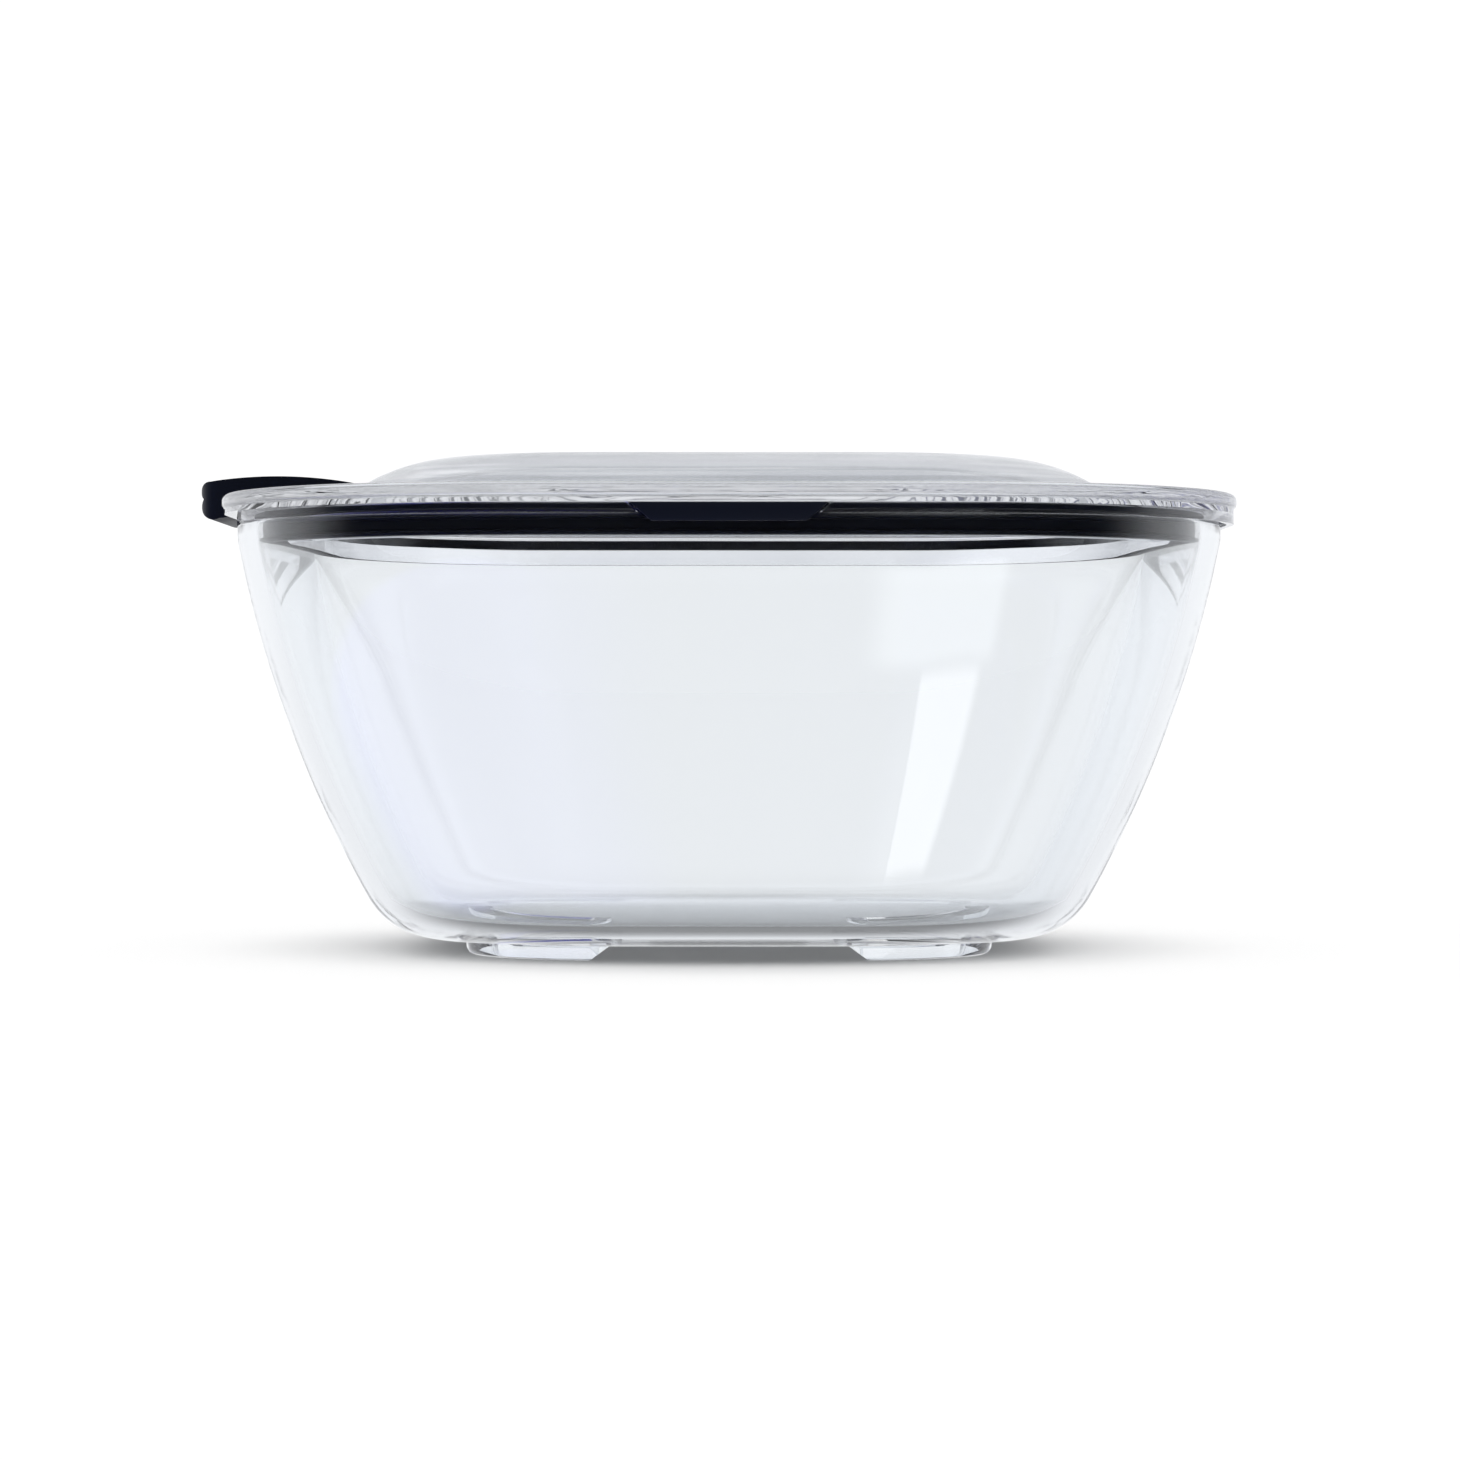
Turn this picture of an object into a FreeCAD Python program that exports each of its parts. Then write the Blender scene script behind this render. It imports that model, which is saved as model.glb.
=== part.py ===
"""Square glass storage container with a clear domed lid, a silicone seal and a pull tab.

The origin is on the surface the container stands on, under the middle of the bowl.
+Z is up, the front faces -Y and the pull tab is on the -X side. Lengths are in millimetres.
"""
import FreeCAD
import Part
import math
import os
import Sketcher

Vector = FreeCAD.Vector

# Driving sizes. A "half" is half the width of a rounded square, measured to its flat side.
SIZES = {
    # glass bowl
    "foot_height": 3.3,
    "foot_half": 55.5,
    "foot_width": 5.5,
    "foot_draft": 0.8,
    "foot_corner": 29.0,
    "foot_gap_top": 24.0,
    "foot_gap_bottom": 28.5,
    "floor_half": 61.0,
    "heel_radius": 16.5,
    "heel_angle": 62.0,
    "wall_radius": 260.0,
    "wall_angle": 79.2,
    "glass_wall": 4.0,
    "glass_top": 90.3,
    "glass_edge": 1.6,
    "bowl_corner": 0.6,
    "corner_centre": 40.56,
    # clear lid
    "flange_half": 104.8,
    "flange_top": 95.4,
    "flange_under": 92.1,
    "flange_edge": 1.35,
    "skirt_outer": 104.2,
    "skirt_wall": 1.5,
    "skirt_bottom": 89.2,
    "guide_outer": 94.6,
    "guide_wall": 3.9,
    "guide_bottom": 85.4,
    "guide_bevel": 3.8,
    "crown_half": 56.0,
    "crown_top": 103.7,
    "crown_radius": 36.6,
    "crown_corner": 0.52,
    "lid_wall": 2.8,
    "crown_root_radius": 2.0,
    "tab_opening": 66.0,
    # silicone seal
    "seal_gap": 0.15,
    "seal_top": 91.4,
    "seal_bottom": 85.5,
    "seal_body": 96.3,
    "seal_lip": 97.0,
    "seal_lip_height": 0.9,
    "web_under": 90.5,
    "web_half": 100.8,
    "lug_outer": 104.4,
    "lug_wall": 1.4,
    "lug_bottom": 87.7,
    "lug_top_width": 38.4,
    "lug_bottom_width": 30.0,
    "lug_clearance": 0.5,
    # silicone pull tab
    "hinge_out": 77.4,
    "hinge_up": 98.1,
    "hinge_wall": 1.6,
    "hinge_gap": 1.15,
    "tab_width": 44.0,
    "tab_notch_out": 111.5,
    "tab_notch_up": 95.8,
    "tab_shoulder_out": 109.8,
    "tab_shoulder_up": 99.5,
    "tab_top_radius": 92.0,
    "tab_upper_bulge": 2.15,
    "tab_lower_bulge": 2.75,
    "tab_end_out": 108.0,
    "tab_end_up": 91.75,
    "tab_clearance": 0.4,
    "tab_heel_out": 83.0,
    "tab_corner": 4.5,
    "tab_corner_out": 112.2,
    "root_wall": 0.95,
    "root_angle": 22.0,
}

doc = FreeCAD.newDocument("glass_storage_container")
sheet = doc.addObject("Spreadsheet::Sheet", "Sizes")
for row, (alias, value) in enumerate(SIZES.items(), start=1):
    sheet.set(f"A{row}", alias)
    sheet.set(f"B{row}", str(value))
    sheet.setAlias(f"B{row}", alias)
doc.recompute()


def cell(formula):
    """Write every size's name in a formula as a reference to the sheet."""
    for alias in sorted(SIZES, key=len, reverse=True):
        formula = formula.replace(f"{{{alias}}}", f"Sizes.{alias}")
    return formula


def number(formula):
    """The present value of a formula, used only to draw a sketch near its final shape."""
    return float(sheet.evalExpression(cell(formula)))


def new_body(name):
    body = doc.addObject("PartDesign::Body", name)
    body.Label = name
    return body


def plane(body, role):
    return next(item for item in body.Origin.OriginFeatures if item.Role == role)


def new_sketch(body, name, role="XY_Plane", offset="0"):
    """A sketch on one of the body's own planes, moved along the plane's normal."""
    sketch = body.newObject("Sketcher::SketchObject", name)
    sketch.AttachmentSupport = (plane(body, role), [""])
    sketch.MapMode = "FlatFace"
    sketch.setExpression(".AttachmentOffset.Base.z", cell(offset))
    return sketch


def bind(sketch, constraint, formula):
    index = sketch.addConstraint(constraint)
    sketch.setExpression(f"Constraints[{index}]", cell(formula))


def add_rounded_square(sketch, half, radius):
    """Four sides and four tangent corner arcs, centred on the sketch's origin."""
    first = sketch.GeometryCount
    size, corner = number(half), number(radius)
    flat = size - corner
    for turn in range(4):
        spin = FreeCAD.Rotation(Vector(0, 0, 1), 90 * turn)
        side = [spin.multVec(Vector(x, -size, 0)) for x in (-flat, flat)]
        sketch.addGeometry(Part.LineSegment(*side))
    for turn in range(4):
        centre = FreeCAD.Rotation(Vector(0, 0, 1), 90 * turn).multVec(Vector(flat, -flat, 0))
        circle = Part.Circle(centre, Vector(0, 0, 1), corner)
        start = math.radians(90 * turn - 90)
        sketch.addGeometry(Part.ArcOfCircle(circle, start, start + math.pi / 2))
    for turn in range(4):
        line, arc, following = first + turn, first + 4 + turn, first + (turn + 1) % 4
        sketch.addConstraint(Sketcher.Constraint("Tangent", line, 2, arc, 1))
        sketch.addConstraint(Sketcher.Constraint("Tangent", arc, 2, following, 1))
        sketch.addConstraint(Sketcher.Constraint("Vertical" if turn % 2 else "Horizontal", line))
        bind(sketch, Sketcher.Constraint("Radius", arc, corner), radius)
    bind(sketch, Sketcher.Constraint("DistanceY", first, 1, -1, 1, size), half)
    bind(sketch, Sketcher.Constraint("DistanceX", -1, 1, first + 1, 1, size), half)
    bind(sketch, Sketcher.Constraint("DistanceY", -1, 1, first + 2, 1, size), half)
    bind(sketch, Sketcher.Constraint("DistanceX", first + 3, 1, -1, 1, size), half)


def add_outline(sketch, corners):
    """A closed outline of (x, y, radius) corners; the radius bends the side that follows.

    A positive radius bulges to the right of the way the outline is walked, a negative one
    to the left, and None leaves the side straight.
    """
    first = sketch.GeometryCount
    points = [Vector(number(x), number(y), 0) for x, y, _ in corners]
    ends = []
    for index, (_, _, radius) in enumerate(corners):
        start, end = points[index], points[(index + 1) % len(points)]
        if radius is None:
            sketch.addGeometry(Part.LineSegment(start, end))
            ends.append((1, 2))
            continue
        size = number(radius)
        chord = end - start
        rise = math.sqrt(size ** 2 - chord.Length ** 2 / 4)
        left = Vector(-chord.y, chord.x, 0).normalize()
        centre = (start + end) / 2 + left * math.copysign(rise, size)
        first_point, last_point = (start, end) if size > 0 else (end, start)
        angles = [math.atan2(p.y - centre.y, p.x - centre.x) for p in (first_point, last_point)]
        circle = Part.Circle(centre, Vector(0, 0, 1), abs(size))
        sketch.addGeometry(Part.ArcOfCircle(circle, *angles))
        ends.append((1, 2) if size > 0 else (2, 1))
    for index, (x, y, radius) in enumerate(corners):
        here, there = first + index, first + (index + 1) % len(corners)
        joint = (here, ends[index][1], there, ends[(index + 1) % len(corners)][0])
        sketch.addConstraint(Sketcher.Constraint("Coincident", *joint))
        start = (here, ends[index][0])
        bind(sketch, Sketcher.Constraint("DistanceX", -1, 1, *start, points[index].x), x)
        bind(sketch, Sketcher.Constraint("DistanceY", -1, 1, *start, points[index].y), y)
        if radius is not None:
            size = number(radius)
            sign = "" if size > 0 else "-1 * "
            bind(sketch, Sketcher.Constraint("Radius", here, abs(size)), f"{sign}({radius})")


def loft(body, kind, name, sections):
    """A loft through rounded squares, each given as (height, half, corner radius)."""
    sketches = []
    for index, (height, half, radius) in enumerate(sections):
        sketch = new_sketch(body, f"{name}_section_{index}", offset=height)
        add_rounded_square(sketch, half, radius)
        sketches.append(sketch)
    feature = body.newObject(f"PartDesign::{kind}", name)
    feature.Profile = sketches[0]
    feature.Sections = sketches[1:]
    doc.recompute()
    return feature


def extrude(body, kind, name, sketch, length, midplane=False, reverse=False):
    feature = body.newObject(f"PartDesign::{kind}", name)
    feature.Profile = sketch
    feature.Reversed = reverse
    feature.Midplane = midplane
    feature.setExpression("Length", cell(length))
    doc.recompute()
    return feature


def rim_corner_radius(half):
    """Everything round the rim shares its corners' centres, so walls and gaps are even."""
    return f"{half} - {{corner_centre}}"


def ring(body, name, height, length, outer, inner):
    """An upright rounded-square wall that starts at one height and is padded upwards."""
    sketch = new_sketch(body, f"{name}_outline", offset=height)
    for half in (outer, inner):
        add_rounded_square(sketch, half, rim_corner_radius(half))
    return extrude(body, "Pad", name, sketch, length)


def edges_at(shape, height, low=0.0, high=1e6):
    """Names of the edges that lie at one height, within a range of distance from the axis."""
    names = []
    for index, edge in enumerate(shape.Edges, start=1):
        box = edge.BoundBox
        reach = max(abs(box.XMin), abs(box.XMax), abs(box.YMin), abs(box.YMax))
        flat = abs(box.ZMin - height) < 1e-3 and abs(box.ZMax - height) < 1e-3
        if flat and low < reach < high:
            names.append(f"Edge{index}")
    return names


def dress_edges(body, kind, name, size, names):
    """Fillet or chamfer the named edges of the body's latest feature."""
    base = body.Tip
    feature = body.newObject(f"PartDesign::{kind}", name)
    feature.Base = (base, names)
    feature.setExpression("Radius" if kind == "Fillet" else "Size", cell(size))
    doc.recompute()
    return feature


def glass_profile(angle, inset):
    """Height and half-width of the bowl's wall where its surface leans at an angle.

    The floor runs into a small heel arc and the heel into the long, gently bowed wall.
    """
    floor = "{foot_height} + {heel_radius}"
    if angle <= SIZES["heel_angle"]:
        radius = f"({{heel_radius}} - {inset})"
        return (f"{floor} - {radius} * cos({angle} deg)",
                f"{{floor_half}} + {radius} * sin({angle} deg)")
    shift = "({wall_radius} - {heel_radius})"
    radius = f"({{wall_radius}} - {inset})"
    heel = f"{SIZES['heel_angle']} deg"
    return (f"{floor} + {shift} * cos({heel}) - {radius} * cos({angle} deg)",
            f"{{floor_half}} - {shift} * sin({heel}) + {radius} * sin({angle} deg)")


def glass_sections(inset, start, end, steps):
    """Evenly spaced sections of the glass's outside or inside between two angles."""
    sections = []
    for step in range(steps + 1):
        angle = start + (end - start) * step / steps
        height, half = glass_profile(angle, inset)
        corner = f"{{bowl_corner}} * ({half} + {inset}) - {inset}"
        sections.append((height, half, corner))
    return sections


def build_glass_bowl():
    """One pressed piece of glass: wall, upright rim and four corner feet."""
    body = new_body("glass_bowl")
    heel, wall = SIZES["heel_angle"], SIZES["wall_angle"]
    outside = glass_sections("0", heel, wall, 4)
    inside = glass_sections("{glass_wall}", heel, wall, 4)
    loft(body, "AdditiveLoft", "wall_outside", outside)
    loft(body, "AdditiveLoft", "heel_outside", glass_sections("0", 0, heel, 4))

    rim_height, rim_half, rim_corner = outside[-1]
    rim = new_sketch(body, "rim_outline", offset=rim_height)
    add_rounded_square(rim, rim_half, rim_corner)
    extrude(body, "Pad", "rim", rim, f"{{glass_top}} - ({rim_height})")

    loft(body, "SubtractiveLoft", "wall_inside", inside)
    loft(body, "SubtractiveLoft", "heel_inside", glass_sections("{glass_wall}", 0, heel, 4))
    mouth_height, mouth_half, mouth_corner = inside[-1]
    mouth = new_sketch(body, "mouth_outline", offset=mouth_height)
    add_rounded_square(mouth, mouth_half, mouth_corner)
    extrude(body, "Pocket", "mouth", mouth, "{glass_top}", reverse=True)
    top_edges = edges_at(body.Tip.Shape, SIZES["glass_top"])
    dress_edges(body, "Fillet", "rim_rounding", "{glass_edge}", top_edges)

    foot_sections = []
    for height, draft in (("{foot_height} + 1", "0"), ("0", "{foot_draft}")):
        foot_sections.append((height, f"{{foot_half}} - {draft}", f"{{foot_corner}} - {draft}"))
    loft(body, "AdditiveLoft", "foot_block", foot_sections)
    hollow = new_sketch(body, "foot_hollow_outline")
    add_rounded_square(hollow, "{foot_half} - {foot_width}", "{foot_corner} - {foot_width}")
    extrude(body, "Pocket", "foot_hollow", hollow, "{foot_height}", reverse=True)
    for role in ("XZ_Plane", "YZ_Plane"):
        gap = new_sketch(body, f"foot_gap_{role[:2]}", role)
        add_outline(gap, [
            ("-1 * {foot_gap_bottom}", "-0.01", None),
            ("{foot_gap_bottom}", "-0.01", None),
            ("{foot_gap_top}", "{foot_height}", None),
            ("-1 * {foot_gap_top}", "{foot_height}", None),
        ])
        extrude(body, "Pocket", f"foot_gap_cut_{role[:2]}", gap, "4 * {foot_half}", midplane=True)
    return body


def crown_sections(inset, start):
    """Sections of the lid's crown, from below the flange's face up to the flat top."""
    centre = "{crown_top} - {crown_radius}"
    radius = f"({{crown_radius}} - {inset})"
    sections = []
    for angle in (start, 0.75 * start, 0.5 * start, 0.25 * start, 0):
        half = f"{{crown_half}} + {radius} * sin({angle} deg)"
        corner = f"{{crown_corner}} * ({half} + {inset}) - {inset}"
        sections.append((f"{centre} + {radius} * cos({angle} deg)", half, corner))
    return sections


def lug_outline(clearance, top, bottom):
    """The trapezoid of a seal lug, seen from the front, grown by a clearance."""
    wide = f"{{lug_top_width}} / 2 + {clearance}"
    narrow = f"{{lug_bottom_width}} / 2 + {clearance}"
    return [
        (f"-1 * ({narrow})", bottom, None), (narrow, bottom, None),
        (wide, top, None), (f"-1 * ({wide})", top, None),
    ]


def build_lid():
    """One moulding: flange with a rounded edge, raised crown, skirt and guide wall."""
    body = new_body("lid")
    plate = new_sketch(body, "flange_outline", offset="{flange_under}")
    add_rounded_square(plate, "{flange_half}", rim_corner_radius("{flange_half}"))
    extrude(body, "Pad", "flange", plate, "{flange_top} - {flange_under}")
    rim_edges = edges_at(body.Tip.Shape, SIZES["flange_top"])
    rim_edges += edges_at(body.Tip.Shape, SIZES["flange_under"])
    dress_edges(body, "Fillet", "flange_rounding", "{flange_edge}", rim_edges)

    loft(body, "AdditiveLoft", "crown", crown_sections("0", 40))
    root = edges_at(body.Tip.Shape, SIZES["flange_top"], 60, 90)
    dress_edges(body, "Fillet", "crown_root", "{crown_root_radius}", root)

    ring(body, "skirt", "{skirt_bottom}", "{flange_under} - {skirt_bottom} + 0.5",
         "{skirt_outer}", "{skirt_outer} - {skirt_wall}")
    ring(body, "guide", "{guide_bottom}", "{flange_under} - {guide_bottom} + 0.5",
         "{guide_outer}", "{guide_outer} - {guide_wall}")
    ring(body, "channel_roof", "{seal_top}", "{flange_under} - {seal_top} + 0.5",
         "{skirt_outer} - {skirt_wall} / 2", "{guide_outer} - {guide_wall} / 2")
    loft(body, "SubtractiveLoft", "crown_inside", crown_sections("{lid_wall}", 44))

    guide_edges = edges_at(body.Tip.Shape, SIZES["guide_bottom"], SIZES["guide_outer"] - 0.01)
    dress_edges(body, "Chamfer", "guide_lead_in", "{guide_bevel}", guide_edges)

    opening = new_sketch(body, "tab_opening_outline", offset="{skirt_bottom} - 1")
    beyond = "{guide_outer} + 1"
    add_outline(opening, [
        ("-1 * ({flange_half} + 1)", "-1 * {tab_opening}", None),
        (f"-1 * ({beyond})", "-1 * {tab_opening}", None),
        (f"-1 * ({beyond})", "{tab_opening}", None),
        ("-1 * ({flange_half} + 1)", "{tab_opening}", None),
    ])
    extrude(body, "Pocket", "tab_opening_cut", opening,
            "{seal_top} - {skirt_bottom} + 1", reverse=True)

    for role in ("XZ_Plane", "YZ_Plane"):
        for side in (-1, 1):
            name = f"lug_window_{role[:2]}_{'near' if side < 0 else 'far'}"
            window = new_sketch(body, f"{name}_outline", role, f"{side} * {{flange_half}}")
            outline = lug_outline("{lug_clearance}", "{seal_top}", "{skirt_bottom} - 1")
            add_outline(window, outline)
            extrude(body, "Pocket", name, window,
                    f"2 * ({{flange_half}} - ({beyond}))", midplane=True)
    return body


def build_seal_ring():
    """One silicone moulding: body with two wiper lips, a web over the glass and four lugs."""
    body = new_body("seal_ring")
    inner = "{guide_outer} + {seal_gap}"
    ring(body, "seal_wall", "{seal_bottom}", "{seal_top} - {seal_bottom}",
         "{seal_body}", inner)
    for index, height in enumerate(("{seal_bottom}", "{seal_bottom} + 3 * {seal_lip_height}")):
        ring(body, f"wiper_lip_{index}", height, "{seal_lip_height}",
             "{seal_lip}", inner)
    ring(body, "web", "{web_under}", "{seal_top} - {web_under}", "{web_half}", inner)

    reach = "{lug_outer} - {guide_outer} - 1"
    for role in ("XZ_Plane", "YZ_Plane"):
        for side in (-1, 1):
            name = f"lug_{role[:2]}_{'near' if side < 0 else 'far'}"
            bridge = new_sketch(body, f"{name}_bridge_outline", role,
                                f"{side} * ({{lug_outer}} - ({reach}) / 2)")
            add_outline(bridge, lug_outline("0", "{seal_top}", "{web_under}"))
            extrude(body, "Pad", f"{name}_bridge", bridge, reach, midplane=True)
            lug = new_sketch(body, f"{name}_outline", role,
                             f"{side} * ({{lug_outer}} - {{lug_wall}} / 2)")
            add_outline(lug, lug_outline("0", "{seal_top}", "{lug_bottom}"))
            extrude(body, "Pad", name, lug, "{lug_wall}", midplane=True)
    return body


def build_tab_root():
    """The fixed end of the pull tab: a thin strip that lies on the crown's side."""
    body = new_body("tab_root")
    sketch = new_sketch(body, "root_outline", "XZ_Plane")
    centre = "{crown_top} - {crown_radius}"
    low = "({crown_radius} + 0.08)"
    high = "({crown_radius} + {root_wall})"
    end = "({hinge_out} - {hinge_gap})"
    foot = f"asin(({end} - {{crown_half}}) / {low})"
    toe = f"asin(({end} - {{crown_half}}) / {high})"
    angle = "{root_angle} * 1 deg"
    add_outline(sketch, [
        (f"-1 * ({{crown_half}} + {low} * sin({angle}))", f"{centre} + {low} * cos({angle})",
         low),
        (f"-1 * {end}", f"{centre} + {low} * cos({foot})", None),
        (f"-1 * {end}", f"{centre} + {high} * cos({toe})", f"-1 * {high}"),
        (f"-1 * ({{crown_half}} + {high} * sin({angle}))", f"{centre} + {high} * cos({angle})",
         None),
    ])
    extrude(body, "Pad", "root_strip", sketch, "{tab_width}", midplane=True)
    return body


def build_pull_tab():
    """The moving end: thin at the living hinge, thick at the grip that wraps the rim."""
    body = new_body("pull_tab")
    sketch = new_sketch(body, "tab_outline", "XZ_Plane")
    start = "-1 * {hinge_out}"
    under = "{flange_top} + {tab_clearance}"
    inside = "-1 * ({flange_half} + {tab_clearance})"
    add_outline(sketch, [
        (start, "{hinge_up} + {hinge_wall} / 2", "{tab_top_radius}"),
        ("-1 * {tab_shoulder_out}", "{tab_shoulder_up}", "{tab_upper_bulge}"),
        ("-1 * {tab_notch_out}", "{tab_notch_up}", "{tab_lower_bulge}"),
        ("-1 * {tab_end_out}", "{tab_end_up}", None),
        (inside, "{tab_end_up} + 0.3", None),
        (inside, "{flange_top} - {flange_edge} + 0.6", None),
        (f"{inside} + {{flange_edge}}", under, None),
        ("-1 * {tab_heel_out}", under, None),
        (f"{start} - 1", "{hinge_up} - {hinge_wall} / 2", None),
        (start, "{hinge_up} - {hinge_wall} / 2", None),
    ])
    extrude(body, "Pad", "tab_block", sketch, "{tab_width}", midplane=True)

    bead = new_sketch(body, "hinge_bead_outline", "XZ_Plane")
    centre = Vector(number(start), number("{hinge_up}"), 0)
    radius = number("{hinge_wall} / 2")
    bead.addGeometry(Part.Circle(centre, Vector(0, 0, 1), radius))
    bind(bead, Sketcher.Constraint("DistanceX", -1, 1, 0, 3, centre.x), start)
    bind(bead, Sketcher.Constraint("DistanceY", -1, 1, 0, 3, centre.y), "{hinge_up}")
    bind(bead, Sketcher.Constraint("Radius", 0, radius), "{hinge_wall} / 2")
    extrude(body, "Pad", "hinge_bead", bead, "{tab_width}", midplane=True)

    corners = new_sketch(body, "tab_corner_outline")
    for side in (-1, 1):
        edge = f"{side} * {{tab_width}} / 2"
        past = f"{side} * ({{tab_width}} / 2 + 2)"
        turn = f"{side} * ({{tab_width}} / 2 - {{tab_corner}})"
        add_outline(corners, [
            ("-1 * ({tab_corner_out} + 2)", turn, None),
            ("-1 * {tab_corner_out}", turn, f"{-side} * {{tab_corner}}"),
            ("-1 * ({tab_corner_out} - {tab_corner})", edge, None),
            ("-1 * ({tab_corner_out} - {tab_corner})", past, None),
            ("-1 * ({tab_corner_out} + 2)", past, None),
        ])
    extrude(body, "Pocket", "tab_corners", corners, "{crown_top}", reverse=True)
    return body


bodies = [build_glass_bowl(), build_lid(), build_seal_ring(), build_tab_root(), build_pull_tab()]
doc.recompute()
for item in doc.Objects:
    if "Invalid" in item.State or "Error" in item.State:
        raise RuntimeError(f"{item.Name} failed: {item.State}")
os.makedirs("parts", exist_ok=True)
for body in bodies:
    if body.Shape.isNull() or not body.Shape.isValid():
        raise RuntimeError(f"{body.Label} has no valid shape")
    body.Shape.exportStep(f"parts/{body.Label}.step")
    size = body.Shape.BoundBox
    print(f"{body.Label}: {len(body.Shape.Solids)} solid, {body.Shape.Volume / 1000:.1f} cm3,"
          f" x {size.XMin:.2f} {size.XMax:.2f}, y {size.YMin:.2f} {size.YMax:.2f},"
          f" z {size.ZMin:.2f} {size.ZMax:.2f}")
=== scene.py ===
"""Looks of the square glass storage container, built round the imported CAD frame.

Sizes are in millimetres in the shape code and turned into metres when a mesh is made.
"""
import math

import bmesh
import bpy
from mathutils import Matrix, Vector


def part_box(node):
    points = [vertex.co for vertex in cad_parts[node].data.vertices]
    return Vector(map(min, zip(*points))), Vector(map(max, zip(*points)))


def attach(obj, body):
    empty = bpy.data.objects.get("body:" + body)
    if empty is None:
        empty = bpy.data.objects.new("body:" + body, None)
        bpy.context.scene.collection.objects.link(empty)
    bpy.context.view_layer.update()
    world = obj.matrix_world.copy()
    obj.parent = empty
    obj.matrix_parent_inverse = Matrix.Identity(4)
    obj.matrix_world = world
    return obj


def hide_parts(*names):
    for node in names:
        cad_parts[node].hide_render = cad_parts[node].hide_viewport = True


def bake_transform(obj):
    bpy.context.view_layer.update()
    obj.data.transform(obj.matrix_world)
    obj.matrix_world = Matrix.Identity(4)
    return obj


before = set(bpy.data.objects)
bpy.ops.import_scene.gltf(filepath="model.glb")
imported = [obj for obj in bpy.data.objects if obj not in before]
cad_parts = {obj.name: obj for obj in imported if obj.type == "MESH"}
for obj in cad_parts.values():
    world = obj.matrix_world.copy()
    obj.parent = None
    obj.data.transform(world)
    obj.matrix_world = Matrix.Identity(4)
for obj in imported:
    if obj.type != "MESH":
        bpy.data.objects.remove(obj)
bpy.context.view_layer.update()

MM = 0.001

# Sizes taken from the frame
_, glass_high = [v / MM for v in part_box("glass_bowl")]
lid_low, lid_high = [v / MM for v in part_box("lid")]
seal_low, seal_high = [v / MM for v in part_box("seal_ring")]
RIM_HALF = glass_high.x
GLASS_TOP = glass_high.z
FLANGE_HALF = lid_high.x
CROWN_TOP = lid_high.z
GUIDE_BOTTOM = lid_low.z
SEAL_BOTTOM = seal_low.z
LUG_OUTER = seal_high.x
SEAL_TOP = seal_high.z

# Glass bowl
FOOT_HEIGHT = 3.3
FLOOR_HALF = 61.0
HEEL_RADIUS = 16.5
HEEL_ANGLE = 62.0
WALL_RADIUS = 260.0
WALL_ANGLE = 79.2
WALL_BLEND = 6.0
GLASS_WALL = 4.0
GLASS_EDGE = 1.6
BOWL_CORNER = 0.6
CORNER_CENTRE = RIM_HALF * (1 - BOWL_CORNER)
FOOT_HALF = 55.5
FOOT_WIDTH = 5.5
FOOT_CORNER = 29.0
FOOT_DRAFT = 0.8
FOOT_GAP_TOP = 24.0
FOOT_GAP_BOTTOM = 28.5

# Clear lid
FLANGE_UNDER = SEAL_TOP + 0.7
FLANGE_TOP = FLANGE_UNDER + 3.3
FLANGE_EDGE = 1.35
SKIRT_OUTER = 104.2
SKIRT_INNER = 102.7
SKIRT_BOTTOM = 89.2
SKIRT_EDGE = 0.04
GUIDE_OUTER = 94.6
GUIDE_WALL = 3.9
GUIDE_BEVEL = 3.8
GUIDE_FILLET = 0.8
FLANGE_FLAT_OUT = 92.0
CROWN_HALF = 56.0
CROWN_RADIUS = 36.6
CROWN_CORNER = 0.52
CROWN_FILLET = 2.0
LID_WALL = 2.8
TAB_OPENING = 66.0

# Silicone seal
SEAL_INNER = GUIDE_OUTER + 0.15
SEAL_BODY = 96.3
SEAL_LIP = 97.0
LIP_HEIGHT = 0.9
WEB_UNDER = SEAL_TOP - 0.9
WEB_HALF = 100.8
LUG_WALL = 1.4
LUG_EDGE = 0.35
LUG_PROUD = 0.3
LUG_BOTTOM = 87.7
LUG_TOP_WIDTH = 38.4
LUG_BOTTOM_WIDTH = 30.0
LUG_CLEARANCE = 0.5
WINDOW_EDGE = 0.35
SEAL_RELIEF = 0.1

# Silicone pull tab, measured outwards from the bowl's middle towards -X
HINGE_OUT = 77.4
HINGE_UP = 98.1
HINGE_WALL = 1.6
HINGE_GAP = 1.0
TAB_WIDTH = 44.0
TAB_CORNER = 4.5
TAB_CORNER_OUT = 112.2
TAB_CLEARANCE = 0.4
ROOT_WALL = 0.95
ROOT_ANGLE = 22.0
TAB_NOSE_TOP = (109.8, 99.5)
TAB_NOSE = (111.5, 95.8)
TAB_TIP = (108.0, 91.75)
TAB_EDGE = 0.28

SIDE_STEPS = (0.01, 0.08, 0.3, 0.5, 0.7, 0.92, 0.99)
CORNER_STEPS = 24

# Colours: what a clear piece lets through, a painted shade for the crown, and the silicone
GLASS_TINT = (0.944, 0.962, 0.979)
PLASTIC_TINT = (0.84, 0.85, 0.87)
# Painted shade: the crown of the lid is tinted darker than the rest of the plastic.
CROWN_PAINTED_SHADE = (0.50, 0.515, 0.54)
SILICONE_NAVY = (0.0018, 0.0038, 0.0125)
GLASS_IOR = 1.5
PLASTIC_IOR = 1.49

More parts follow.
